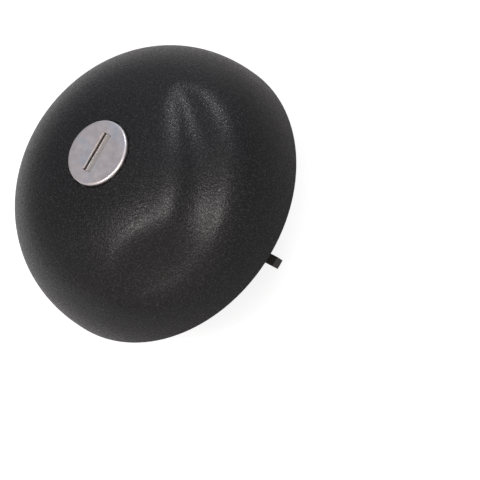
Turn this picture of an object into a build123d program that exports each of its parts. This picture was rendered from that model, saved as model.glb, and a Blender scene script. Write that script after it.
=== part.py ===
"""Locking fuel filler cap: a domed bayonet cap with a key lock, a locking bolt and a vent valve.

Millimetres. The origin is the centre of the gasket's sealing face and +Z runs up the cap's axis.
The locking bolt points along +X and the two bayonet lugs stand on the Y axis.
"""

import os
from math import cos, pi, radians, sin

from build123d import *

os.makedirs("parts", exist_ok=True)

# --- dome ---------------------------------------------------------------------------------------
cap_radius = 40.0
dome_height = 32.0
dome_power = 2.35  # superellipse power of the dome's meridian
rim_z = -5.0
wall = 2.6
dome_top = rim_z + dome_height

# --- finger scoop: azimuth, reach from the axis, depth and cutter radius at each station ----------
scoop_turn = -5.0
scoop_edge_radius = 12.0
scoop_stations = (
    (96.0, 26.6, -2.6, 10.0),
    (72.0, 25.9, 0.7, 9.5),
    (45.0, 26.4, 2.2, 10.5),
    (20.0, 28.7, 3.6, 16.0),
    (-5.0, 31.2, 4.8, 25.0),
    (-28.0, 32.8, 3.2, 28.0),
    (-46.0, 34.0, 0.9, 29.0),
    (-64.0, 34.8, -2.4, 29.0),
    (-84.0, 35.0, -7.0, 29.0),
)

# --- lock ---------------------------------------------------------------------------------------
plate_radius = 9.0
plate_proud = 0.6
plate_height = 3.4
plate_sheet = 0.8
plate_hole_radius = 9.35
slot_length = 11.0
slot_width = 2.95
barrel_radius = 7.45
bore_radius = 7.5
head_radius = 8.15
housing_radius = 10.1
housing_top = 23.8
housing_bottom = 6.0
foot_radius = 18.4
foot_thickness = 1.6
dowel_circle = 17.2
dowel_radius = 0.9
barrel_end = 3.0
tang_size = 7.0
tang_length = 5.0
key_length = 9.0
key_width = 2.6
keyway_end = 6.6
wafer_count = 5
wafer_first_z = 18.0
wafer_pitch = 2.5
wafer_thickness = 1.2
wafer_width = 6.4
ear_x = 3.9
ear_y = 0.85
ear_width = 1.8
ear_length = 1.3
wafer_spring_x = 4.4
wafer_spring_top = 0.2
wafer_spring_length = 4.1
groove_depth_radius = 8.4

# --- neck ---------------------------------------------------------------------------------------
flange_radius = 35.0
flange_bottom = 3.0
flange_top = 6.0
neck_radius = 18.5
neck_bore = 16.0
neck_end = -30.5
nose_radius = 18.0
nose_top = -26.6
partition_top = -18.5
partition_bottom = -21.0
gasket_inner = 19.4
gasket_outer = 27.5
collar_radius = 20.2
lug_radius = 24.0
lug_half_angle = 20.0
lug_top = -11.0
lug_thickness = 3.2
lug_rise = 1.4
screw_circle = 31.5
screw_angle = 60.0
screw_tip = 10.2
screw_hole_top = 11.4
screw_boss_radius = 3.5
screw_pilot_radius = 1.4
screw_shank_radius = 1.38
screw_hole_radius = 1.95
screw_head_radius = 3.0
screw_head_height = 2.0
recess_length = 3.0
recess_width = 0.8

# --- bolt drive ---------------------------------------------------------------------------------
bolt_tip = 27.5
bolt_width = 2.6
bolt_height = 2.4
bolt_heel_width = 6.0
bolt_play = 0.08
bolt_top = -23.65
bolt_bottom = bolt_top - bolt_height
bolt_travel = 7.8
key_turn = 90.0
pin_far = 12.4
pin_radius = 1.1
pin_play = 0.08
cam_radius = 15.0
cam_bottom = -23.35
cam_top = -21.25
spindle_radius = 4.0
spindle_square = 4.0
spindle_head = 6.0
pilot_radius = 1.3

# --- vent valve ---------------------------------------------------------------------------------
valve_x = -10.4
well_radius = 5.9
well_bore = 5.0
well_top = -6.0
port_radius = 2.4
play = 0.05


def dome_outline(inset=0.0):
    """Points of a quarter of the dome's meridian, from the rim to the crown."""
    reach = cap_radius - inset
    rise = dome_height - inset
    points = []
    for step in range(11):
        t = pi / 2 * step / 10
        points.append((reach * cos(t) ** (2 / dome_power), rim_z + rise * sin(t) ** (2 / dome_power)))
    return points


def dome_solid(inset=0.0):
    """The dome as a solid of revolution, offset inwards by inset."""
    outline = dome_outline(inset)
    with BuildPart() as dome:
        with BuildSketch(Plane.YZ):
            with BuildLine():
                Spline(*outline, tangents=((0, 1), (-1, 0)))
                Polyline(outline[-1], (0, rim_z), outline[0])
            make_face()
        revolve(axis=Axis.Z)
    return dome.part


def scoop_centre(angle, reach, depth, radius):
    """Centre of a ball of that radius that dips to depth below the dome at an azimuth and reach."""
    share = reach / cap_radius
    drop = 1 - share**dome_power
    height = rim_z + dome_height * drop ** (1 / dome_power)
    slope = dome_height / cap_radius * share ** (dome_power - 1) * drop ** (1 / dome_power - 1)
    lift = Vector(slope, 0, 1).normalized() * (radius - depth)
    return Vector(reach + lift.X, 0, height + lift.Z).rotate(Axis.Z, angle)


def scoop_cutter(margin=0.0):
    """A curved horn, grown by margin, that lies along one flank of the dome."""
    centres = [scoop_centre(*station) for station in scoop_stations]
    path = Spline(*centres)
    with BuildPart() as horn:
        for centre, station in zip(centres, scoop_stations):
            along = path.tangent_at(path.param_at_point(centre))
            with BuildSketch(Plane(origin=centre, x_dir=(0, 0, 1), z_dir=along)):
                Circle(station[3] + margin)
        loft()
    return horn.part.rotate(Axis.Z, scoop_turn)


def coil_spring(mean_radius, wire_radius, length, turns):
    """A compression spring that stands on the XY plane."""
    climb = length - 2 * wire_radius
    path = Helix(pitch=climb / turns, height=climb, radius=mean_radius)
    with BuildPart() as spring:
        with BuildSketch(Plane(origin=path @ 0, z_dir=path % 0)):
            RegularPolygon(wire_radius, 6)
        sweep(path=path, is_frenet=True)
    return spring.part.moved(Location((0, 0, wire_radius)))


def ring(inner, outer, bottom, top):
    """A plain ring about Z between two heights."""
    with BuildPart() as part:
        with BuildSketch(Plane.XY.offset(bottom)):
            Circle(outer)
            Circle(inner, mode=Mode.SUBTRACT)
        extrude(amount=top - bottom)
    return part.part


def disc(radius, bottom, top):
    """A plain disc about Z between two heights."""
    with BuildPart() as part:
        with BuildSketch(Plane.XY.offset(bottom)):
            Circle(radius)
        extrude(amount=top - bottom)
    return part.part


def seal_ring(mean_radius, section_radius, height):
    """An O-ring about Z at a height."""
    with BuildPart() as part:
        with Locations((0, 0, height)):
            Torus(mean_radius, section_radius)
    return part.part


def polar_point(radius, angle):
    """The point of the XY plane at a radius and an angle in degrees."""
    return (radius * cos(radians(angle)), radius * sin(radians(angle)))


screw_places = [polar_point(screw_circle, angle) for angle in
                (screw_angle, 180 - screw_angle, 180 + screw_angle, -screw_angle)]

# --- outer shell --------------------------------------------------------------------------------
scoop = scoop_cutter()
deep_scoop = scoop_cutter(wall)
boss_radius = 12.9
boss_bottom = foot_thickness + housing_bottom + 0.1
rib_count = 6
rib_bottom = 9.0

with BuildPart() as shell_cavity:
    add(dome_solid(wall))
    add(deep_scoop, mode=Mode.SUBTRACT)
    with BuildSketch(Plane.XY.offset(boss_bottom)):
        Circle(boss_radius)
    extrude(amount=dome_height, mode=Mode.SUBTRACT)
    with BuildSketch(Plane.XY.offset(flange_top)):
        with Locations(*screw_places):
            Circle(screw_boss_radius)
    extrude(amount=dome_height, mode=Mode.SUBTRACT)
    with BuildSketch(Plane.XY.offset(rib_bottom)):
        with PolarLocations(boss_radius + 11, rib_count, start_angle=30):
            Rectangle(24.0, 1.6)
    extrude(amount=dome_height, mode=Mode.SUBTRACT)

with BuildPart() as outer_shell:
    add(dome_solid())
    add(scoop, mode=Mode.SUBTRACT)
    scoop_edges = outer_shell.edges().filter_by(lambda edge: edge.center().X > 5)
    fillet(scoop_edges, radius=scoop_edge_radius)
    add(shell_cavity.part, mode=Mode.SUBTRACT)
    with BuildSketch(Plane.XY.offset(housing_bottom)):
        Circle(housing_radius + 0.1)
    extrude(amount=housing_top - housing_bottom, mode=Mode.SUBTRACT)
    with BuildSketch(Plane.XY.offset(housing_top)):
        Circle(plate_hole_radius)
    extrude(amount=dome_height, mode=Mode.SUBTRACT)
    with BuildSketch(Plane.XY.offset(flange_top)):
        with Locations(*screw_places):
            Circle(screw_pilot_radius)
    extrude(amount=screw_hole_top - flange_top, mode=Mode.SUBTRACT)
outer_shell.part.label = "outer_shell"
export_step(outer_shell.part, "parts/outer_shell.step")

# --- lock housing: the fixed sleeve of the lock, with broached grooves for the wafers ------------
with BuildPart() as lock_housing:
    with BuildSketch(Plane.XY.offset(housing_bottom)):
        Circle(housing_radius)
    extrude(amount=housing_top - housing_bottom)
    with BuildSketch(Plane.XY.offset(housing_bottom)):
        Circle(foot_radius)
        with PolarLocations(dowel_circle, 2):
            Circle(dowel_radius + 0.1, mode=Mode.SUBTRACT)
        with PolarLocations(13.6, 4, start_angle=45):
            Circle(1.5, mode=Mode.SUBTRACT)
    extrude(amount=foot_thickness)
    with BuildSketch(Plane.XY.offset(housing_bottom)):
        Circle(bore_radius)
    extrude(amount=housing_top - housing_bottom, mode=Mode.SUBTRACT)
    with BuildSketch(Plane.XY.offset(housing_bottom)):
        Rectangle(2 * groove_depth_radius, wafer_width + 0.5)
        Rectangle(wafer_width + 0.5, 2 * groove_depth_radius)
    extrude(amount=wafer_first_z + 1.0 - housing_bottom, mode=Mode.SUBTRACT)
lock_housing.part.label = "lock_housing"
export_step(lock_housing.part, "parts/lock_housing.step")

# --- lock barrel --------------------------------------------------------------------------------
head_bottom = housing_top + play
head_top = dome_top + plate_proud - plate_sheet - play
pocket_floor = 21.7
pocket_left = -1.85
pocket_right = 3.15
pocket_half = 5.85
hinge_x = 2.35
hinge_z = head_top - 0.75
ring_groove_z = 20.55
clip_bottom = 5.1
clip_top = 5.9

with BuildPart() as lock_barrel:
    with BuildSketch(Plane.XY.offset(barrel_end)):
        Circle(barrel_radius)
    extrude(amount=head_bottom - barrel_end)
    with BuildSketch(Plane.XY.offset(head_bottom)):
        Circle(head_radius)
    extrude(amount=head_top - head_bottom)
    with BuildSketch(Plane.XY.offset(barrel_end - tang_length)):
        Rectangle(tang_size, tang_size)
    extrude(amount=tang_length)
    with BuildSketch(Plane.XY.offset(keyway_end)):
        Rectangle(key_width, key_length)
    extrude(amount=head_top - keyway_end, mode=Mode.SUBTRACT)
    with BuildSketch(Plane.XY.offset(pocket_floor)):
        with Locations(((pocket_left + pocket_right) / 2, 0)):
            Rectangle(pocket_right - pocket_left, 2 * pocket_half)
    extrude(amount=head_top - pocket_floor, mode=Mode.SUBTRACT)
    with BuildSketch(Plane.XZ.offset(-pocket_half - 1.2)):
        with Locations((hinge_x, hinge_z)):
            Circle(0.42)
    extrude(amount=2 * (pocket_half + 1.2), mode=Mode.SUBTRACT)
    add(ring(6.35, bore_radius, ring_groove_z - 0.65, ring_groove_z + 0.65), mode=Mode.SUBTRACT)
    add(ring(6.35, bore_radius, clip_bottom - play, clip_top + play), mode=Mode.SUBTRACT)
    for index in range(wafer_count):
        wafer_z = wafer_first_z - wafer_pitch * index
        side = 1 if index % 2 == 0 else -1
        with BuildSketch(Plane.XY.offset(wafer_z - wafer_thickness / 2 - play)):
            Rectangle(wafer_width + 2 * play, 2 * bore_radius)
            with Locations((side * (ear_x + 0.25), side * ear_y)):
                Rectangle(ear_width + 0.1, ear_length + 1.5)
        extrude(amount=wafer_thickness + 2 * play, mode=Mode.SUBTRACT)
        with BuildSketch(Plane.XY.offset(wafer_z - 0.6)):
            with Locations((side * wafer_spring_x, side * -2.2)):
                Rectangle(1.3, 3.6)
        extrude(amount=1.2, mode=Mode.SUBTRACT)
lock_barrel.part.label = "lock_barrel"
export_step(lock_barrel.part, "parts/lock_barrel.step")

# --- wafers and their springs -------------------------------------------------------------------
for index in range(wafer_count):
    wafer_z = wafer_first_z - wafer_pitch * index
    side = 1 if index % 2 == 0 else -1
    bitting = 0.35 * (index % 3 - 1)
    with BuildPart() as wafer:
        with BuildSketch(Plane.XY.offset(wafer_z - wafer_thickness / 2)):
            Circle(barrel_radius - play)
            Rectangle(wafer_width, 2 * barrel_radius, mode=Mode.INTERSECT)
            with Locations((side * ear_x, side * ear_y)):
                Rectangle(ear_width, ear_length)
            with Locations((0, bitting)):
                Rectangle(key_width + 0.4, key_length - 0.2, mode=Mode.SUBTRACT)
        extrude(amount=wafer_thickness)
    wafer.part.label = f"wafer_{index + 1}"
    export_step(wafer.part, f"parts/wafer_{index + 1}.step")

    foot = (side * wafer_spring_x, side * (wafer_spring_top - wafer_spring_length), wafer_z)
    wafer_spring = coil_spring(0.42, 0.11, wafer_spring_length, 4)
    wafer_spring = wafer_spring.moved(Plane(origin=foot, z_dir=(0, side, 0)).location)
    wafer_spring.label = f"wafer_spring_{index + 1}"
    export_step(wafer_spring, f"parts/wafer_spring_{index + 1}.step")

# --- lock face: a pressed plate over the barrel's head -------------------------------------------
plate_top = dome_top + plate_proud
with BuildPart() as lock_face_plate:
    with BuildSketch(Plane.XY.offset(plate_top - plate_height)):
        Circle(plate_radius)
    extrude(amount=plate_height)
    fillet(lock_face_plate.edges().group_by(Axis.Z)[-1], radius=0.6)
    with BuildSketch(Plane.XY.offset(plate_top - plate_height)):
        Circle(head_radius + play)
    extrude(amount=plate_height - plate_sheet, mode=Mode.SUBTRACT)
    with BuildSketch(Plane.XY.offset(plate_top - plate_height)):
        RectangleRounded(slot_width, slot_length, 0.3)
    extrude(amount=plate_height, mode=Mode.SUBTRACT)
lock_face_plate.part.label = "lock_face_plate"
export_step(lock_face_plate.part, "parts/lock_face_plate.step")

# --- dust shutter behind the key slot -----------------------------------------------------------
shutter_length = 11.4
spring_gap = 1.5
knuckle_radius = 0.65
with BuildPart() as dust_shutter:
    with BuildSketch(Plane.XZ.offset(-shutter_length / 2)):
        with Locations(((hinge_x - 1.65) / 2, hinge_z + 0.4)):
            Rectangle(hinge_x + 1.65, 0.5)
        with Locations((hinge_x, hinge_z)):
            Circle(knuckle_radius)
            Circle(0.45, mode=Mode.SUBTRACT)
    extrude(amount=shutter_length)
    with BuildSketch(Plane.XZ.offset(-spring_gap)):
        with Locations((hinge_x + 0.1, hinge_z - 0.1)):
            Rectangle(2.2, 1.7)
    extrude(amount=2 * spring_gap, mode=Mode.SUBTRACT)
dust_shutter.part.label = "dust_shutter"
export_step(dust_shutter.part, "parts/dust_shutter.step")

with BuildPart() as shutter_pin:
    with BuildSketch(Plane.XZ.offset(-pocket_half - 1.0)):
        with Locations((hinge_x, hinge_z)):
            Circle(0.4)
    extrude(amount=2 * (pocket_half + 1.0))
shutter_pin.part.label = "shutter_pin"
export_step(shutter_pin.part, "parts/shutter_pin.step")

hinge_plane = Plane(origin=(hinge_x, 0.2 - spring_gap, hinge_z), z_dir=(0, 1, 0))
shutter_spring = coil_spring(0.58, 0.1, 2 * spring_gap - 0.4, 4).moved(hinge_plane.location)
shutter_spring.label = "shutter_spring"
export_step(shutter_spring, "parts/shutter_spring.step")

# --- barrel seal and retaining clip -------------------------------------------------------------
barrel_o_ring = seal_ring(6.92, 0.55, ring_groove_z)
barrel_o_ring.label = "barrel_o_ring"
export_step(barrel_o_ring, "parts/barrel_o_ring.step")

with BuildPart() as barrel_clip:
    add(ring(6.4, 8.7, clip_bottom, clip_top))
    with BuildSketch(Plane.XY.offset(clip_bottom)):
        with Locations((-8, 0)):
            Rectangle(10, 7.0)
    extrude(amount=clip_top - clip_bottom, mode=Mode.SUBTRACT)
    with BuildSketch(Plane.XY.offset(clip_bottom)):
        with Locations(polar_point(8.2, 152), polar_point(8.2, -152)):
            Circle(0.9)
            Circle(0.45, mode=Mode.SUBTRACT)
    extrude(amount=clip_top - clip_bottom)
barrel_clip.part.label = "barrel_clip"
export_step(barrel_clip.part, "parts/barrel_clip.step")

# --- drive spindle from the barrel down to the bolt cam ------------------------------------------
spindle_top = barrel_end - 0.3
socket_bottom = barrel_end - tang_length - 0.2
head_end = socket_bottom - 2.0
spindle_end = -29.8
spindle_ring_z = -19.4
with BuildPart() as drive_spindle:
    with BuildSketch(Plane.XY.offset(head_end)):
        Circle(spindle_head)
    extrude(amount=spindle_top - head_end)
    with BuildSketch(Plane.XY.offset(partition_bottom + 0.05)):
        Circle(spindle_radius)
    extrude(amount=head_end - partition_bottom - 0.05)
    with BuildSketch(Plane.XY.offset(cam_bottom - 0.05)):
        Rectangle(spindle_square, spindle_square)
    extrude(amount=partition_bottom + 0.1 - cam_bottom)
    with BuildSketch(Plane.XY.offset(spindle_end)):
        Circle(pilot_radius)
    extrude(amount=cam_bottom - spindle_end)
    chamfer(drive_spindle.edges().group_by(Axis.Z)[0], length=0.3)
    with BuildSketch(Plane.XY.offset(socket_bottom)):
        Rectangle(tang_size + 0.06, tang_size + 0.06)
    extrude(amount=spindle_top - socket_bottom, mode=Mode.SUBTRACT)
    add(ring(3.0, 5.0, spindle_ring_z - 0.7, spindle_ring_z + 0.7), mode=Mode.SUBTRACT)
drive_spindle.part.label = "drive_spindle"
export_step(drive_spindle.part, "parts/drive_spindle.step")

spindle_o_ring = seal_ring(3.53, 0.52, spindle_ring_z)
spindle_o_ring.label = "spindle_o_ring"
export_step(spindle_o_ring, "parts/spindle_o_ring.step")

# --- bolt cam: a disc whose spiral slot draws the bolt in evenly over a quarter turn ---------------
spiral = [polar_point(pin_far - bolt_travel * step / 8, -key_turn * step / 8) for step in range(9)]
with BuildPart() as bolt_cam:
    with BuildSketch(Plane.XY.offset(cam_bottom)):
        Circle(cam_radius)
        Rectangle(spindle_square + 0.06, spindle_square + 0.06, mode=Mode.SUBTRACT)
        with BuildLine():
            Spline(*spiral)
        trace(line_width=2 * (pin_radius + pin_play), mode=Mode.SUBTRACT)
        with Locations(spiral[0], spiral[-1]):
            Circle(pin_radius + pin_play, mode=Mode.SUBTRACT)
    extrude(amount=cam_top - cam_bottom)
bolt_cam.part.label = "bolt_cam"
export_step(bolt_cam.part, "parts/bolt_cam.step")

# --- lock bolt and its follower pin -------------------------------------------------------------
bolt_heel = pin_far - 1.6
bolt_shoulder = 15.0
with BuildPart() as lock_bolt:
    with BuildSketch(Plane.XY.offset(bolt_bottom)):
        with Locations(((bolt_heel + bolt_shoulder) / 2, 0)):
            Rectangle(bolt_shoulder - bolt_heel, bolt_heel_width)
        with Locations(((pin_far + bolt_tip) / 2, 0)):
            Rectangle(bolt_tip - pin_far, bolt_width)
    extrude(amount=bolt_height)
    chamfer(lock_bolt.faces().sort_by(Axis.X)[-1].edges(), length=0.2)
    with BuildSketch(Plane.XY.offset(bolt_bottom)):
        with Locations((pin_far, 0)):
            Circle(pin_radius)
    extrude(amount=bolt_height, mode=Mode.SUBTRACT)
lock_bolt.part.label = "lock_bolt"
export_step(lock_bolt.part, "parts/lock_bolt.step")

with BuildPart() as follower_pin:
    with BuildSketch(Plane.XY.offset(bolt_bottom + 0.1)):
        with Locations((pin_far, 0)):
            Circle(pin_radius)
    extrude(amount=cam_top - 0.2 - bolt_bottom - 0.1)
    chamfer(follower_pin.edges().group_by(Axis.Z)[-1], length=0.2)
follower_pin.part.label = "follower_pin"
export_step(follower_pin.part, "parts/follower_pin.step")

# --- neck body: flange, bayonet neck, partition and valve well -------------------------------------
window_half = bolt_width / 2 + bolt_play


def bayonet_lug(angle):
    """One lug on the neck, whose upper face climbs like a ramp."""
    root = neck_radius - 0.8
    start = angle - lug_half_angle
    finish = angle + lug_half_angle
    with BuildPart() as lug:
        with BuildSketch(Plane.XY.offset(lug_top - lug_thickness)):
            with BuildLine():
                CenterArc((0, 0), lug_radius, start, 2 * lug_half_angle)
                Line(polar_point(lug_radius, finish), polar_point(root, finish))
                CenterArc((0, 0), root, start, 2 * lug_half_angle)
                Line(polar_point(root, start), polar_point(lug_radius, start))
            make_face()
        extrude(amount=lug_thickness)
        slope = lug_rise / (2 * lug_radius * sin(radians(lug_half_angle)))
        ramp = Plane(
            origin=(*polar_point(lug_radius, angle), lug_top - lug_rise / 2),
            z_dir=(slope * sin(radians(angle)), -slope * cos(radians(angle)), 1),
        )
        split(bisect_by=ramp, keep=Keep.BOTTOM)
    return lug.part


with BuildPart() as neck_body:
    add(disc(flange_radius, flange_bottom, flange_top))
    chamfer(neck_body.edges().group_by(Axis.Z)[-1], length=0.6)
    add(disc(nose_radius, neck_end, flange_bottom))
    chamfer(neck_body.edges().group_by(Axis.Z)[0], length=0.6)
    add(disc(neck_radius, nose_top, flange_bottom))
    add(disc(collar_radius, -1.0, 0.6))
    add(disc(gasket_inner - 0.1, 0.6, flange_bottom))
    for angle in (90, 270):
        add(bayonet_lug(angle))
    add(disc(neck_bore, partition_top, flange_top), mode=Mode.SUBTRACT)
    add(disc(neck_bore, neck_end, partition_bottom), mode=Mode.SUBTRACT)
    with BuildSketch(Plane.XY.offset(partition_top - 0.5)):
        with Locations((valve_x, 0)):
            Circle(well_radius)
            Circle(well_bore, mode=Mode.SUBTRACT)
    extrude(amount=well_top - partition_top + 0.5)
    with BuildSketch(Plane.XY.offset(partition_top - 0.5)):
        with Locations((valve_x, 0)):
            Circle(3.8)
            Circle(3.0, mode=Mode.SUBTRACT)
    extrude(amount=0.9)
    with BuildSketch(Plane.XY.offset(partition_bottom)):
        Circle(spindle_radius + 0.08)
        with Locations((valve_x, 0)):
            Circle(port_radius)
    extrude(amount=partition_top - partition_bottom, mode=Mode.SUBTRACT)
    add(disc(neck_bore + 0.35, neck_end + 0.8, neck_end + 1.4), mode=Mode.SUBTRACT)
    with BuildSketch(Plane.YZ.offset(neck_bore - 3)):
        with Locations((0, (bolt_top + bolt_bottom) / 2)):
            Rectangle(2 * window_half, bolt_height + 2 * bolt_play)
    extrude(amount=8.0, mode=Mode.SUBTRACT)
    with BuildSketch(Plane.XY.offset(flange_bottom)):
        with Locations(*screw_places):
            Circle(screw_hole_radius)
    extrude(amount=flange_top - flange_bottom, mode=Mode.SUBTRACT)
    with BuildSketch(Plane.XY.offset(flange_top)):
        with PolarLocations(dowel_circle, 2):
            Circle(dowel_radius)
    extrude(amount=foot_thickness - 0.2)
neck_body.part.label = "neck_body"
export_step(neck_body.part, "parts/neck_body.step")

# --- end cover: closes the bolt chamber and guides the bolt ---------------------------------------
cover_bottom = neck_end + 0.3
cover_top = cover_bottom + 1.8
guide_start = 2.2
guide_end = 15.0
with BuildPart() as neck_end_cover:
    add(disc(neck_bore - 0.08, cover_bottom, cover_top))
    add(disc(neck_bore + 0.27, neck_end + 0.85, neck_end + 1.35))
    with BuildSketch(Plane.XY.offset(cover_top)):
        with Locations(((guide_start + guide_end) / 2, 0)):
            Rectangle(guide_end - guide_start, 9.4)
    extrude(amount=cam_bottom - 0.35 - cover_top)
    with BuildSketch(Plane.XY.offset(bolt_bottom - play)):
        with Locations(((guide_start + guide_end) / 2, 0)):
            Rectangle(guide_end - guide_start, bolt_heel_width + 2 * bolt_play)
    extrude(amount=bolt_height + 1.0, mode=Mode.SUBTRACT)
    with BuildSketch(Plane.XY.offset(cover_bottom)):
        Circle(pilot_radius + 0.07)
        with PolarLocations(9.5, 5, start_angle=60, angular_range=240):
            Circle(1.3)
    extrude(amount=cover_top - cover_bottom, mode=Mode.SUBTRACT)
neck_end_cover.part.label = "neck_end_cover"
export_step(neck_end_cover.part, "parts/neck_end_cover.step")

# --- main gasket --------------------------------------------------------------------------------
with BuildPart() as main_gasket:
    with BuildSketch(Plane.XZ):
        with BuildLine():
            Polyline(
                (gasket_inner, 0.65),
                (collar_radius + 0.5, 0.65),
                (collar_radius + 1.2, 0),
                (gasket_outer - 0.8, 0),
                (gasket_outer, 0.8),
                (gasket_outer - 0.6, 1.5),
                (gasket_outer, 2.2),
                (gasket_outer, flange_bottom),
                (gasket_inner, flange_bottom),
                close=True,
            )
        make_face()
    revolve(axis=Axis.Z)
main_gasket.part.label = "main_gasket"
export_step(main_gasket.part, "parts/main_gasket.step")

# --- shell screws -------------------------------------------------------------------------------
with BuildPart() as shell_screws:
    with BuildSketch(Plane.XY.offset(flange_bottom - screw_head_height)):
        with Locations(*screw_places):
            Circle(screw_head_radius)
    extrude(amount=screw_head_height)
    chamfer(shell_screws.edges().group_by(Axis.Z)[0], length=0.5)
    with BuildSketch(Plane.XY.offset(flange_bottom)):
        with Locations(*screw_places):
            Circle(screw_shank_radius)
    extrude(amount=screw_tip - flange_bottom)
    chamfer(shell_screws.edges().group_by(Axis.Z)[-1], length=0.6)
    with BuildSketch(Plane.XY.offset(flange_bottom - screw_head_height)):
        with Locations(*screw_places):
            Rectangle(recess_length, recess_width)
            Rectangle(recess_width, recess_length)
    extrude(amount=1.2, mode=Mode.SUBTRACT)
shell_screws.part.label = "shell_screws"
export_step(shell_screws.part, "parts/shell_screws.step")

# --- vent valve ---------------------------------------------------------------------------------
seal_thickness = 1.0
valve_plate_thickness = 1.2
stem_radius = 0.6
seal_bottom = partition_top + 0.4
plate_bottom = seal_bottom + seal_thickness
plate_face = plate_bottom + valve_plate_thickness
cover_seat = -8.2
valve_plane = Plane(origin=(valve_x, 0, 0))

with BuildPart() as valve_seal:
    with BuildSketch(valve_plane.offset(seal_bottom)):
        Circle(4.4)
        Circle(2.6, mode=Mode.SUBTRACT)
    extrude(amount=seal_thickness)
valve_seal.part.label = "valve_seal"
export_step(valve_seal.part, "parts/valve_seal.step")

with BuildPart() as pressure_valve_plate:
    with BuildSketch(valve_plane.offset(plate_bottom)):
        Circle(4.8)
        Circle(0.66, mode=Mode.SUBTRACT)
        with PolarLocations(1.5, 4):
            Circle(0.35, mode=Mode.SUBTRACT)
    extrude(amount=valve_plate_thickness)
    with BuildSketch(valve_plane.offset(plate_face)):
        Circle(3.3)
        Circle(2.6, mode=Mode.SUBTRACT)
    extrude(amount=1.0)
pressure_valve_plate.part.label = "pressure_valve_plate"
export_step(pressure_valve_plate.part, "parts/pressure_valve_plate.step")

with BuildPart() as vacuum_valve:
    with BuildSketch(valve_plane.offset(plate_bottom - 0.85)):
        Circle(2.0)
    extrude(amount=0.8)
    chamfer(vacuum_valve.edges().group_by(Axis.Z)[0], length=0.3)
    with BuildSketch(valve_plane.offset(plate_bottom - 0.05)):
        Circle(stem_radius)
    extrude(amount=6.9)
vacuum_valve.part.label = "vacuum_valve"
export_step(vacuum_valve.part, "parts/vacuum_valve.step")

clip_z = -11.2
with BuildPart() as vacuum_clip:
    with BuildSketch(valve_plane.offset(clip_z)):
        Circle(1.25)
        Circle(stem_radius, mode=Mode.SUBTRACT)
    extrude(amount=0.4)
vacuum_clip.part.label = "vacuum_clip"
export_step(vacuum_clip.part, "parts/vacuum_clip.step")

vacuum_spring = coil_spring(0.95, 0.14, clip_z - plate_face, 5)
vacuum_spring = vacuum_spring.moved(Location((valve_x, 0, plate_face)))
vacuum_spring.label = "vacuum_spring"
export_step(vacuum_spring, "parts/vacuum_spring.step")

pressure_spring = coil_spring(3.9, 0.35, cover_seat - plate_face, 5)
pressure_spring = pressure_spring.moved(Location((valve_x, 0, plate_face)))
pressure_spring.label = "pressure_spring"
export_step(pressure_spring, "parts/pressure_spring.step")

with BuildPart() as valve_cover:
    with BuildSketch(valve_plane.offset(cover_seat)):
        Circle(well_bore)
        Circle(1.6, mode=Mode.SUBTRACT)
        with PolarLocations(3.2, 3):
            Circle(0.7, mode=Mode.SUBTRACT)
    extrude(amount=1.4)
valve_cover.part.label = "valve_cover"
export_step(valve_cover.part, "parts/valve_cover.step")
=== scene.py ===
"""Looks of the locking fuel filler cap: materials, light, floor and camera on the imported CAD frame.

Lengths are in metres, texture scales in features per metre, and colours are linear.
"""

import math

import bpy
from mathutils import Matrix, Vector


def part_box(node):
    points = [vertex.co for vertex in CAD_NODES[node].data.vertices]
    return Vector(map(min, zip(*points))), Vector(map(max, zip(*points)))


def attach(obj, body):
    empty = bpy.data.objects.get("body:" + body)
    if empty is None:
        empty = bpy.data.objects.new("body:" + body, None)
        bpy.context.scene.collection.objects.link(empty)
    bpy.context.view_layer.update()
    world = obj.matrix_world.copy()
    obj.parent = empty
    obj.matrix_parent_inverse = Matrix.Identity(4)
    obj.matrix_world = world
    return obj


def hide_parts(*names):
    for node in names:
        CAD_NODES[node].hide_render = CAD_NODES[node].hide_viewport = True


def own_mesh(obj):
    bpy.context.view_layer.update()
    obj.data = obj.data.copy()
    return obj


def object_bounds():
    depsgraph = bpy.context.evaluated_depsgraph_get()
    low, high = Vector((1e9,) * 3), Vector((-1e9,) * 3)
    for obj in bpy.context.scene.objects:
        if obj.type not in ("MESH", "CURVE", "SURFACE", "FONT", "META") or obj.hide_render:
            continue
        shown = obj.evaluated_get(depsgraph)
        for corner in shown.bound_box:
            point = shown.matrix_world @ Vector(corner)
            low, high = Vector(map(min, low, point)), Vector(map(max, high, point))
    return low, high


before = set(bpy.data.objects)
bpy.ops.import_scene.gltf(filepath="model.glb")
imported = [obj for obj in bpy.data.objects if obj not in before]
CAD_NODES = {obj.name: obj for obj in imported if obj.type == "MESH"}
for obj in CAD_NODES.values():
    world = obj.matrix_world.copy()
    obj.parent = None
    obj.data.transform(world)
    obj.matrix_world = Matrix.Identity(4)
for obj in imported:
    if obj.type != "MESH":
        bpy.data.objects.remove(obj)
cad_low, cad_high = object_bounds()
scene = bpy.context.scene

# Nearly all of a noise texture's values lie between these two.
NOISE_LOW = 0.3
NOISE_HIGH = 0.7
# The pointiness at which an edge starts to look worn, and at which it is fully worn.
EDGE_START = 0.505
EDGE_FULL = 0.56
# How far the painted shade at the dust shutter's free edge takes to fade out.
PAINTED_SHADE_FADE = 0.0002


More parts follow.
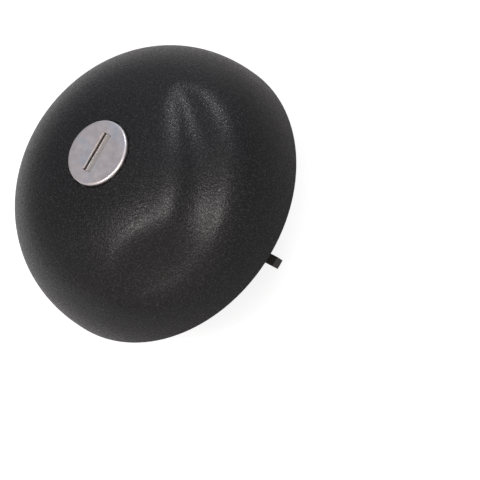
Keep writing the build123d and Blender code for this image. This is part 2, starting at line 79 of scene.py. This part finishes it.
# --- node helpers ---------------------------------------------------------------------------------
class Nodes:
    """A node tree under construction, with short calls for the nodes that this scene uses."""

    def __init__(self, tree):
        self.nodes = tree.nodes
        self.links = tree.links
        self.nodes.clear()

    def feed(self, value, socket):
        """Links an output to a socket, or sets a plain value on it."""
        if isinstance(value, bpy.types.NodeSocket):
            self.links.new(value, socket)
        else:
            socket.default_value = value

    def add(self, kind, **inputs):
        """A node with these inputs, named as its sockets are, with _ for a space."""
        node = self.nodes.new(kind)
        for name, value in inputs.items():
            self.feed(value, node.inputs[name.replace("_", " ")])
        return node

    def math(self, operation, a, b):
        node = self.nodes.new("ShaderNodeMath")
        node.operation = operation
        self.feed(a, node.inputs[0])
        self.feed(b, node.inputs[1])
        return node.outputs[0]

    def weighted_sum(self, *terms):
        """The sum of (value, weight) terms."""
        total = None
        for value, weight in terms:
            term = value if weight == 1.0 else self.math("MULTIPLY", value, weight)
            total = term if total is None else self.math("ADD", total, term)
        return total

    def remap(self, value, low, high, to_low=0.0, to_high=1.0):
        """The value carried from low..high to to_low..to_high, and held at the ends."""
        node = self.nodes.new("ShaderNodeMapRange")
        self.feed(value, node.inputs["Value"])
        node.inputs["From Min"].default_value = low
        node.inputs["From Max"].default_value = high
        node.inputs["To Min"].default_value = to_low
        node.inputs["To Max"].default_value = to_high
        return node.outputs["Result"]

    def dot(self, vector, direction):
        node = self.nodes.new("ShaderNodeVectorMath")
        node.operation = "DOT_PRODUCT"
        self.feed(vector, node.inputs[0])
        node.inputs[1].default_value = direction
        return node.outputs["Value"]

    def mix(self, factor, a, b):
        """Colour a where factor is 0 and b where it is 1."""
        node = self.nodes.new("ShaderNodeMix")
        node.data_type = "RGBA"
        self.feed(factor, node.inputs["Factor"])
        self.feed(a, node.inputs["A"])
        self.feed(b, node.inputs["B"])
        return node.outputs["Result"]


class Shader(Nodes):
    """A principled material, textured in the object's own coordinates."""

    def __init__(self, name):
        self.material = bpy.data.materials.new(name)
        self.material.use_nodes = True
        super().__init__(self.material.node_tree)
        output = self.nodes.new("ShaderNodeOutputMaterial")
        self.bsdf = self.nodes.new("ShaderNodeBsdfPrincipled")
        self.links.new(self.bsdf.outputs["BSDF"], output.inputs["Surface"])
        self.place = self.nodes.new("ShaderNodeTexCoord").outputs["Object"]

    def stretched(self, scale, turn=(0.0, 0.0, 0.0)):
        """The texture coordinates, scaled along each axis and turned."""
        node = self.nodes.new("ShaderNodeMapping")
        self.links.new(self.place, node.inputs["Vector"])
        node.inputs["Scale"].default_value = scale
        node.inputs["Rotation"].default_value = turn
        return node.outputs["Vector"]

    def noise(self, scale, detail, rough, vector=None):
        node = self.nodes.new("ShaderNodeTexNoise")
        self.links.new(vector or self.place, node.inputs["Vector"])
        node.inputs["Scale"].default_value = scale
        node.inputs["Detail"].default_value = detail
        node.inputs["Roughness"].default_value = rough
        return node.outputs["Fac"]

    def spread(self, noise, to_low=0.0, to_high=1.0):
        """A noise's usual range carried to to_low..to_high."""
        return self.remap(noise, NOISE_LOW, NOISE_HIGH, to_low, to_high)

    def cells(self, scale, smoothness=None):
        """The distance to the nearest cell centre, with soft borders where smoothness is given."""
        node = self.nodes.new("ShaderNodeTexVoronoi")
        self.links.new(self.place, node.inputs["Vector"])
        node.inputs["Scale"].default_value = scale
        if smoothness is not None:
            node.feature = "SMOOTH_F1"
            node.inputs["Smoothness"].default_value = smoothness
        return node.outputs["Distance"]

    def worn_edges(self, base, worn, share):
        """The base colour with this share of the worn colour on convex edges."""
        geometry = self.nodes.new("ShaderNodeNewGeometry")
        edges = self.remap(geometry.outputs["Pointiness"], EDGE_START, EDGE_FULL)
        return self.mix(self.math("MULTIPLY", edges, share), base, worn)

    def bump(self, height, strength, distance):
        node = self.nodes.new("ShaderNodeBump")
        node.inputs["Strength"].default_value = strength
        node.inputs["Distance"].default_value = distance
        self.feed(height, node.inputs["Height"])
        self.links.new(node.outputs["Normal"], self.bsdf.inputs["Normal"])

    def set(self, **values):
        """Feeds the shader's sockets, named with _ for a space."""
        for name, value in values.items():
            self.feed(value, self.bsdf.inputs[name.replace("_", " ")])


def rgb(value, tint):
    return (value * tint[0], value * tint[1], value * tint[2], 1.0)


def shade(colour, gain, lift=0.0):
    return tuple(min(1.0, gain * channel + lift) for channel in colour) + (1.0,)


# --- materials ------------------------------------------------------------------------------------
def grained_plastic(name):
    """Black plastic off a spark-eroded tool: a close, pebbled grain that glints, with painted glints
    as pale specks in its colour.
    """
    s = Shader(name)
    pebbles = s.cells(2000.0, smoothness=0.4)
    coarse = s.noise(1100.0, 2.0, 0.5)
    fine = s.noise(2400.0, 2.0, 0.6)
    grain = s.weighted_sum((pebbles, -0.5), (coarse, 1.0), (fine, 0.9))
    cloud = s.noise(70.0, 4.0, 0.6)
    # Painted highlights: pale specks in the base colour stand for the grain's glints in the dark
    # areas.
    painted_glints = s.remap(s.noise(2700.0, 2.0, 0.5), 0.51, 0.68)
    base = s.mix(cloud, rgb(0.0015, (1.0, 1.0, 1.15)), rgb(0.004, (1.0, 1.0, 1.08)))
    base = s.mix(painted_glints, base, rgb(0.03, (1.0, 0.98, 1.02)))
    s.set(Base_Color=base, Roughness=s.remap(fine, 0.4, 0.62, 0.22, 0.46), IOR=1.41)
    s.bump(grain, strength=1.0, distance=0.00007)
    return s.material


def moulded_plastic(name, colour, rough):
    """Plain moulded nylon or acetal: smooth, with faint flow marks and rubbed edges."""
    s = Shader(name)
    flow = s.noise(60.0, 3.0, 0.55, s.stretched((1.0, 1.0, 0.35)))
    skin = s.noise(1400.0, 3.0, 0.6)
    base = s.mix(flow, shade(colour, 0.8), shade(colour, 1.2, 0.004))
    base = s.worn_edges(base, shade(colour, 1.5, 0.03), 0.5)
    s.set(Base_Color=base, Roughness=s.spread(flow, rough - 0.06, rough + 0.08), IOR=1.49)
    s.bump(skin, strength=0.25, distance=0.00004)
    return s.material


def satin_plate(name):
    """The lock's stainless face: satin, with warm and bluish clouds and faint brushing."""
    s = Shader(name)
    brushing = s.stretched((900.0, 5200.0, 900.0), (0.0, 0.0, math.radians(28)))
    brushed = s.noise(1.0, 3.0, 0.6, brushing)
    mottle = s.noise(520.0, 4.0, 0.65)
    clouds = s.noise(170.0, 3.0, 0.5)
    tone = s.remap(s.weighted_sum((mottle, 0.6), (clouds, 0.4)), 0.35, 0.65)
    base = s.mix(tone, rgb(0.76, (1.0, 0.93, 0.92)), rgb(0.86, (1.0, 0.94, 0.93)))
    base = s.mix(s.remap(clouds, 0.5, 0.66, 0.0, 0.9), base, rgb(0.8, (0.9, 0.94, 1.0)))
    s.set(Base_Color=base, Metallic=1.0, Roughness=s.spread(mottle, 0.3, 0.42))
    s.bump(s.weighted_sum((brushed, 1.0), (mottle, 1.0)), strength=0.18, distance=0.00003)
    return s.material


def steel(name, value, tint, rough, direction, painted_shade_end=None):
    """Drawn or pressed metal with brighter edges, and painted shade for a shadowed gap: a dark strip
    that ends at the given x.
    """
    s = Shader(name)
    drawn = s.noise(700.0, 3.0, 0.6, s.stretched(direction))
    patches = s.noise(240.0, 3.0, 0.5)
    base = s.mix(s.spread(patches), rgb(value * 0.82, tint), rgb(value, tint))
    base = s.worn_edges(base, rgb(min(1.0, value * 1.25), tint), 0.6)
    metallic = 1.0
    if painted_shade_end is not None:
        # Painted shade: a dark, non-metallic strip along the free edge stands for the shadow in a
        # narrow gap.
        along_x = s.dot(s.place, (1.0, 0.0, 0.0))
        painted_shade = s.remap(along_x, painted_shade_end - PAINTED_SHADE_FADE, painted_shade_end, 1.0, 0.0)
        base = s.mix(painted_shade, base, rgb(0.012, (1.0, 0.93, 0.85)))
        metallic = s.remap(painted_shade, 0.0, 1.0, 1.0, 0.0)
    roughness = s.spread(drawn, rough - 0.07, rough + 0.09)
    s.set(Base_Color=base, Metallic=metallic, Roughness=roughness)
    s.bump(drawn, strength=0.2, distance=0.00003)
    return s.material


def cast_metal(name, value, tint, rough):
    """Die-cast metal: a dull skin with flow marks, fine pits and polished edges."""
    s = Shader(name)
    skin = s.noise(900.0, 4.0, 0.65)
    pits = s.remap(s.cells(1300.0), 0.0, 0.25)
    flow = s.noise(110.0, 3.0, 0.6)
    base = s.mix(s.spread(flow), rgb(value * 0.75, tint), rgb(value, tint))
    base = s.worn_edges(base, rgb(min(1.0, value * 1.4), tint), 0.6)
    s.set(Base_Color=base, Metallic=1.0, Roughness=s.spread(skin, rough - 0.08, rough + 0.1))
    s.bump(s.weighted_sum((skin, 1.0), (pits, 0.4)), strength=0.35, distance=0.00005)
    return s.material


def rubber(name, value, dust):
    """Nitrile rubber: matt black with a faint bloom and mould texture."""
    s = Shader(name)
    bloom = s.remap(s.noise(180.0, 4.0, 0.65), 0.4, 0.75, 0.0, dust)
    skin = s.noise(2200.0, 3.0, 0.6)
    base = s.mix(bloom, rgb(value, (1.0, 1.0, 1.03)), rgb(0.12, (1.0, 0.99, 0.96)))
    s.set(Base_Color=base, Roughness=s.spread(skin, 0.55, 0.75), IOR=1.52)
    s.bump(skin, strength=0.3, distance=0.00005)
    return s.material


# How far the painted shade of the gap reaches from the dust shutter's free edge, which lies under the
# lock plate.
SHUTTER_PAINTED_SHADE = 0.0007
shutter_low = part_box("dust_shutter")[0]
painted_shade_end = shutter_low.x + SHUTTER_PAINTED_SHADE
EVEN = (1.0, 1.0, 1.0)

# The record's material slots: what makes each one, and with which values.
FINISHES = {
    "shell_plastic": (grained_plastic,),
    "neck_plastic": (moulded_plastic, (0.017, 0.0175, 0.0185), 0.4),
    "cover_plastic": (moulded_plastic, (0.02, 0.0205, 0.0215), 0.36),
    "bolt_plastic": (moulded_plastic, (0.03, 0.026, 0.024), 0.38),
    "spindle_plastic": (moulded_plastic, (0.62, 0.6, 0.55), 0.36),
    "valve_plastic": (moulded_plastic, (0.55, 0.54, 0.5), 0.38),
    "lock_face_steel": (satin_plate,),
    "shutter_steel": (steel, 0.48, (1.0, 0.95, 0.9), 0.48, (5.0, 1.0, 1.0), painted_shade_end),
    "pin_steel": (steel, 0.56, (0.98, 1.0, 1.02), 0.25, (1.0, 1.0, 8.0)),
    "spring_steel": (steel, 0.5, (0.98, 1.0, 1.03), 0.24, EVEN),
    "spring_bronze": (steel, 0.55, (1.0, 0.72, 0.5), 0.27, EVEN),
    "lock_zinc": (cast_metal, 0.5, (0.97, 0.985, 1.0), 0.42),
    "cam_zinc": (cast_metal, 0.46, (1.0, 0.98, 0.93), 0.4),
    "wafer_brass": (steel, 0.72, (1.0, 0.78, 0.4), 0.3, (1.0, 6.0, 1.0)),
    "seal_rubber": (rubber, 0.016, 0.1),
    "gasket_rubber": (rubber, 0.014, 0.16),
    "screw_steel": (steel, 0.58, (1.0, 0.96, 0.86), 0.28, (1.0, 1.0, 3.0)),
}
MATERIALS = {slot: make(slot, *values) for slot, (make, *values) in FINISHES.items()}

for node in CAD_NODES.values():
    for index, current in enumerate(node.data.materials):
        node.data.materials[index] = MATERIALS[current.name.split(".")[0]]


# --- valve springs, carried on their bodies -------------------------------------------------------
def valve_spring(node, body):
    """A copy of a CAD spring's own mesh, carried on the body, with the CAD spring hidden."""
    piece = bpy.data.objects.new(node + "_coil", CAD_NODES[node].data.copy())
    scene.collection.objects.link(piece)
    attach(piece, body)
    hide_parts(node)
    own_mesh(piece)


valve_spring("pressure_spring", "cap")
valve_spring("vacuum_spring", "pressure_valve")

# --- camera ---------------------------------------------------------------------------------------
IMAGE_SIZE = 480.0  # pixels, each way
FRAME_WIDTH = 0.125  # what the picture spans at the target
DISTANCE = 1.5
AZIMUTH = math.radians(85.0)
ELEVATION = math.radians(50.2)
ROLL_COS = 0.559  # the photo is turned by 56 degrees in its own plane
ROLL_SIN = 0.829
RIM_CENTRE = Vector((0.0, 0.0, -0.005))
RIM_PIXEL = (165.5, 198.5)  # where the picture shows it

back = Vector((
    math.sin(AZIMUTH) * math.cos(ELEVATION),
    -math.cos(AZIMUTH) * math.cos(ELEVATION),
    math.sin(ELEVATION),
))
level_up = (Vector((0.0, 0.0, 1.0)) - back * back.z).normalized()
level_right = level_up.cross(back)
right = ROLL_COS * level_right - ROLL_SIN * level_up
up = ROLL_SIN * level_right + ROLL_COS * level_up
pixel = FRAME_WIDTH / IMAGE_SIZE
centre = IMAGE_SIZE / 2.0
target = RIM_CENTRE + right * (centre - RIM_PIXEL[0]) * pixel - up * (centre - RIM_PIXEL[1]) * pixel

lens = bpy.data.cameras.new("camera")
lens.sensor_width = 36.0
lens.lens = lens.sensor_width * DISTANCE / FRAME_WIDTH
lens.clip_start = 0.01
lens.clip_end = 20.0
camera = bpy.data.objects.new("camera", lens)
scene.collection.objects.link(camera)
camera.rotation_mode = "QUATERNION"
camera.rotation_quaternion = Matrix((right, up, back)).transposed().to_quaternion()
camera.location = target + back * DISTANCE
scene.camera = camera


def picture_direction(toward):
    """A world direction from its parts to the picture's right, its top and the camera."""
    return (right * toward[0] + up * toward[1] + back * toward[2]).normalized()


# --- floor ----------------------------------------------------------------------------------------
FLOOR_GAP = 0.0002  # keeps it clear of the neck's flat end
FLOOR_Z = cad_low.z - FLOOR_GAP
FLOOR_HALF = 3.0
FLOOR_TONE = 0.45
FLOOR_SEEN = 0.8  # added to the lit tone for the camera, to make it white
FLOOR_GLOW = 0.02  # added for shiny faces that mirror it
FLOOR_SIDES = (  # more of that at its sides: direction, start and end along it, gain
    ((-1.0, 0.0, 0.0), 0.0, 0.2, 0.3),
    ((0.0, -1.0, 0.0), 0.0, 0.2, 0.18),
)

floor_mesh = bpy.data.meshes.new("floor")
corners = [
    (x * FLOOR_HALF, y * FLOOR_HALF, FLOOR_Z) for x, y in ((-1, -1), (1, -1), (1, 1), (-1, 1))
]
floor_mesh.from_pydata(corners, [], [(0, 1, 2, 3)])
floor = bpy.data.objects.new("floor", floor_mesh)
scene.collection.objects.link(floor)

pale = bpy.data.materials.new("pale_floor")
pale.use_nodes = True
paper = Nodes(pale.node_tree)
rays = paper.add("ShaderNodeLightPath").outputs
mirrored = paper.math("MAXIMUM", rays["Is Glossy Ray"], rays["Is Transmission Ray"])
place = paper.add("ShaderNodeTexCoord").outputs["Object"]
glow = FLOOR_GLOW
for toward, start, end, gain in FLOOR_SIDES:
    side = paper.remap(paper.dot(place, toward), start, end, 0.0, gain)
    glow = paper.math("ADD", side, glow)
level = paper.math("MULTIPLY", mirrored, glow)
level = paper.math("ADD", level, paper.math("MULTIPLY", rays["Is Camera Ray"], FLOOR_SEEN))
diffuse = paper.add("ShaderNodeBsdfDiffuse", Color=(FLOOR_TONE, FLOOR_TONE, FLOOR_TONE, 1.0))
emission = paper.add("ShaderNodeEmission", Strength=level)
both = paper.add("ShaderNodeAddShader")
paper.links.new(diffuse.outputs[0], both.inputs[0])
paper.links.new(emission.outputs[0], both.inputs[1])
paper.links.new(both.outputs[0], paper.add("ShaderNodeOutputMaterial").inputs["Surface"])
floor_mesh.materials.append(pale)

# --- world: a dim room with soft washes of light --------------------------------------------------
FILL = 0.05
WASHES = (  # picture direction, cosine to it where the wash starts, gain
    ((0.0, 0.0, 1.0), 0.2, 0.58),
    ((-0.7, -0.7, 0.0), 0.2, 0.52),
    ((0.0, 1.0, 0.0), 0.2, 0.45),
    ((0.7, -0.7, 0.0), 0.2, 0.33),
    ((-0.82, 0.55, 0.18), 0.5, 0.1),
)
COOL_SIDE = (0.0, 1.0, -0.3)  # picture direction
WARM = (1.04, 0.98, 0.955)
COOL = (0.98, 0.97, 1.05)

world = bpy.data.worlds.new("studio")
scene.world = world
world.use_nodes = True
room = Nodes(world.node_tree)
facing = room.add("ShaderNodeTexCoord").outputs["Generated"]
strength = FILL
for toward, start, gain in WASHES:
    wash = room.remap(room.dot(facing, picture_direction(toward)), start, 1.0, 0.0, gain)
    strength = room.math("ADD", wash, strength)
coolness = room.remap(room.dot(facing, picture_direction(COOL_SIDE)), -0.5, 0.5)
tint = room.mix(coolness, rgb(1.0, WARM), rgb(1.0, COOL))
fill = room.add("ShaderNodeBackground", Strength=strength, Color=tint)
backdrop = room.add("ShaderNodeBackground", Strength=1.0)
pick = room.add("ShaderNodeMixShader", Fac=room.add("ShaderNodeLightPath").outputs["Is Camera Ray"])
room.links.new(fill.outputs[0], pick.inputs[1])
room.links.new(backdrop.outputs[0], pick.inputs[2])
room.links.new(pick.outputs[0], room.add("ShaderNodeOutputWorld").inputs["Surface"])

# --- lamps ----------------------------------------------------------------------------------------
LAMP_REACH = 0.9  # from the origin
LAMPS = (  # name, picture direction, side of the square, watts, colour
    ("front_left", (-0.66, -0.07, 0.87), 0.22, 1.85, (1.0, 0.94, 0.93)),
    ("front_right", (-0.1, 0.05, 0.92), 0.3, 2.25, (1.0, 0.94, 0.93)),
    ("top_box", (0.05, 0.9, 0.42), 0.14, 1.1, (1.0, 0.97, 1.0)),
)
for name, toward, side, power, colour in LAMPS:
    data = bpy.data.lights.new(name, "AREA")
    data.shape = "SQUARE"
    data.size = side
    data.energy = power
    data.color = colour
    lamp = bpy.data.objects.new(name, data)
    scene.collection.objects.link(lamp)
    direction = picture_direction(toward)
    lamp.location = direction * LAMP_REACH
    lamp.rotation_mode = "QUATERNION"
    lamp.rotation_quaternion = direction.to_track_quat("Z", "Y")
    lamp.visible_camera = False

scene.view_settings.view_transform = "Standard"
